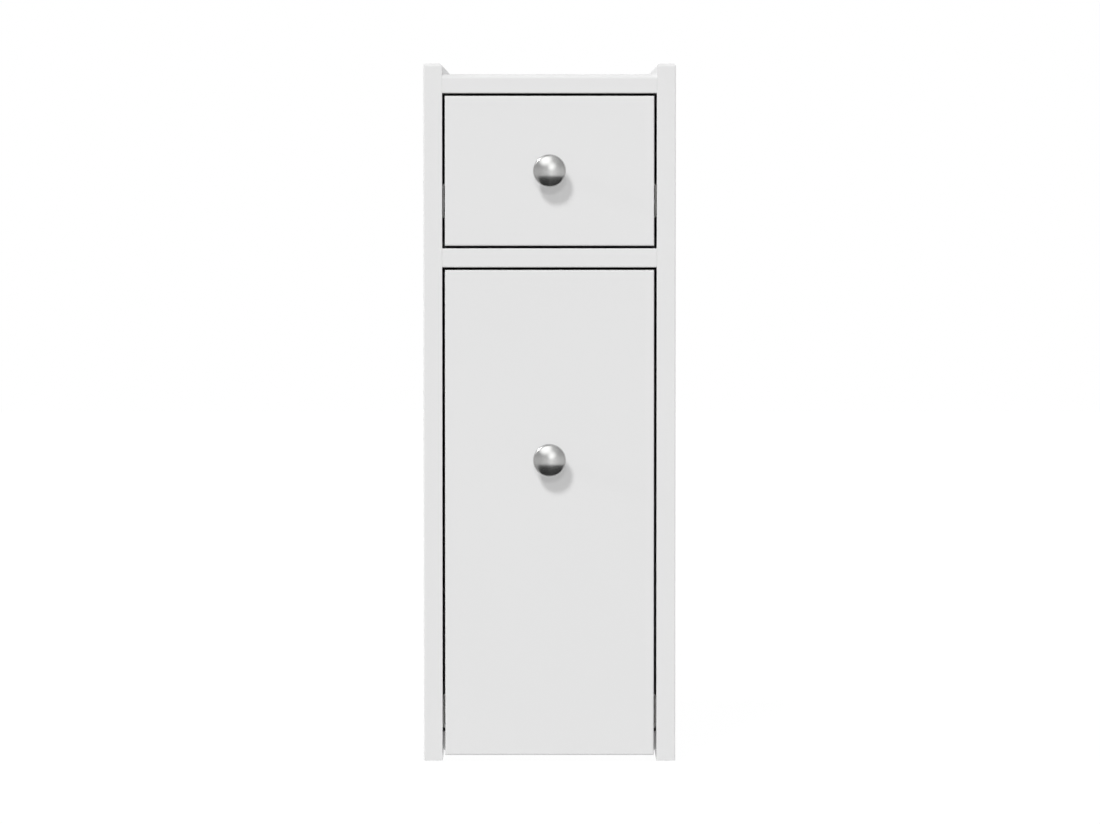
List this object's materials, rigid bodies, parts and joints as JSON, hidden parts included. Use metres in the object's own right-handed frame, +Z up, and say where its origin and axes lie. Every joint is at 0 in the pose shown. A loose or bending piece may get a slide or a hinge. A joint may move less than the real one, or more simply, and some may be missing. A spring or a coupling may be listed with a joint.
{
  "type": "toilet roll storage cabinet",
  "caption": "Slim free-standing toilet roll storage cabinet in white board, with a shallow drawer over a tall pull-out rack, domed nickel knobs and roller runners.",
  "frame": {"origin": "on the floor, under the middle of the bounding box with the knobs included", "axes": "+Z up, the fronts face -Y, +X to the right when seen from the front"},
  "size_m": [0.2, 0.503, 0.555],
  "materials": {
    "white_board": "satin white lacquer on fibreboard",
    "hardboard": "pressed hardboard, smooth face",
    "knob_metal": "polished nickel plate on die-cast zinc",
    "runner_steel": "white epoxy powder coat on rolled sheet steel",
    "fastener_zinc": "bright zinc plate",
    "die_cast_zinc": "bare die-cast zinc alloy",
    "roller_nylon": "natural white nylon, moulded",
    "glide_plastic": "moulded polyethylene",
    "beech": "fluted beech, bare"
  },
  "bodies": {
    "cabinet": {"side_panel_left": "white_board", "side_panel_right": "white_board", "top_panel": "white_board", "divider_panel": "white_board", "base_panel": "white_board", "back_panel": "hardboard", "carcass_cam_locks": "die_cast_zinc", "carcass_cam_bolts": "fastener_zinc", "carcass_dowels": "beech", "back_panel_screws": "fastener_zinc", "floor_glides": "glide_plastic", "drawer_runner_left": "runner_steel", "drawer_runner_right": "runner_steel", "rack_runner_left": "runner_steel", "rack_runner_right": "runner_steel", "runner_screws": "fastener_zinc", "runner_axles": "fastener_zinc"},
    "drawer": {"drawer_front": "white_board", "drawer_side_left": "white_board", "drawer_side_right": "white_board", "drawer_back": "white_board", "drawer_bottom": "hardboard", "drawer_slide_left": "runner_steel", "drawer_slide_right": "runner_steel", "drawer_slide_screws": "fastener_zinc", "drawer_slide_axles": "fastener_zinc", "drawer_knob": "knob_metal", "drawer_knob_screw": "fastener_zinc", "drawer_cam_locks": "die_cast_zinc", "drawer_cam_bolts": "fastener_zinc", "drawer_dowels": "beech", "drawer_box_screws": "fastener_zinc"},
    "rack": {"rack_front": "white_board", "rack_base": "white_board", "rack_side_left": "white_board", "rack_side_right": "white_board", "rack_back": "white_board", "rack_shelf": "white_board", "shelf_rail_left": "white_board", "shelf_rail_right": "white_board", "rack_slide_left": "runner_steel", "rack_slide_right": "runner_steel", "rack_slide_screws": "fastener_zinc", "rack_slide_axles": "fastener_zinc", "rack_knob": "knob_metal", "rack_knob_screw": "fastener_zinc", "rack_cam_locks": "die_cast_zinc", "rack_cam_bolts": "fastener_zinc", "rack_dowels": "beech", "rack_box_screws": "fastener_zinc"},
    "drawer_front_roller_left": {"drawer_front_roller_left": "roller_nylon"},
    "drawer_front_roller_right": {"drawer_front_roller_right": "roller_nylon"},
    "drawer_rear_roller_left": {"drawer_rear_roller_left": "roller_nylon"},
    "drawer_rear_roller_right": {"drawer_rear_roller_right": "roller_nylon"},
    "rack_front_roller_left": {"rack_front_roller_left": "roller_nylon"},
    "rack_front_roller_right": {"rack_front_roller_right": "roller_nylon"},
    "rack_rear_roller_left": {"rack_rear_roller_left": "roller_nylon"},
    "rack_rear_roller_right": {"rack_rear_roller_right": "roller_nylon"}
  },
  "joints": [
    {"name": "drawer_slide", "type": "slide", "parent": "cabinet", "child": "drawer", "axis": [0, -1, 0], "range_m": [0, 0.3]},
    {"name": "rack_slide", "type": "slide", "parent": "cabinet", "child": "rack", "axis": [0, -1, 0], "range_m": [0, 0.3]},
    {"name": "drawer_front_roller_left_spin", "type": "hinge", "parent": "cabinet", "child": "drawer_front_roller_left", "pos_m": [-0.08, -0.1995, 0.4453], "axis": [1, 0, 0], "continuous": true},
    {"name": "drawer_front_roller_right_spin", "type": "hinge", "parent": "cabinet", "child": "drawer_front_roller_right", "pos_m": [0.08, -0.1995, 0.4453], "axis": [1, 0, 0], "continuous": true},
    {"name": "drawer_rear_roller_left_spin", "type": "hinge", "parent": "drawer", "child": "drawer_rear_roller_left", "pos_m": [-0.08, 0.1765, 0.4453], "axis": [1, 0, 0], "continuous": true},
    {"name": "drawer_rear_roller_right_spin", "type": "hinge", "parent": "drawer", "child": "drawer_rear_roller_right", "pos_m": [0.08, 0.1765, 0.4453], "axis": [1, 0, 0], "continuous": true},
    {"name": "rack_front_roller_left_spin", "type": "hinge", "parent": "cabinet", "child": "rack_front_roller_left", "pos_m": [-0.08, -0.1995, 0.0385], "axis": [1, 0, 0], "continuous": true},
    {"name": "rack_front_roller_right_spin", "type": "hinge", "parent": "cabinet", "child": "rack_front_roller_right", "pos_m": [0.08, -0.1995, 0.0385], "axis": [1, 0, 0], "continuous": true},
    {"name": "rack_rear_roller_left_spin", "type": "hinge", "parent": "rack", "child": "rack_rear_roller_left", "pos_m": [-0.08, 0.1765, 0.0385], "axis": [1, 0, 0], "continuous": true},
    {"name": "rack_rear_roller_right_spin", "type": "hinge", "parent": "rack", "child": "rack_rear_roller_right", "pos_m": [0.08, 0.1765, 0.0385], "axis": [1, 0, 0], "continuous": true}
  ],
  "couplings": [
    {"joint": "drawer_front_roller_left_spin", "follows": "drawer_slide", "rad_per_m": 90.909},
    {"joint": "drawer_front_roller_right_spin", "follows": "drawer_slide", "rad_per_m": 90.909},
    {"joint": "drawer_rear_roller_left_spin", "follows": "drawer_slide", "rad_per_m": 90.909},
    {"joint": "drawer_rear_roller_right_spin", "follows": "drawer_slide", "rad_per_m": 90.909},
    {"joint": "rack_front_roller_left_spin", "follows": "rack_slide", "rad_per_m": 90.909},
    {"joint": "rack_front_roller_right_spin", "follows": "rack_slide", "rad_per_m": 90.909},
    {"joint": "rack_rear_roller_left_spin", "follows": "rack_slide", "rad_per_m": 90.909},
    {"joint": "rack_rear_roller_right_spin", "follows": "rack_slide", "rad_per_m": 90.909}
  ]
}
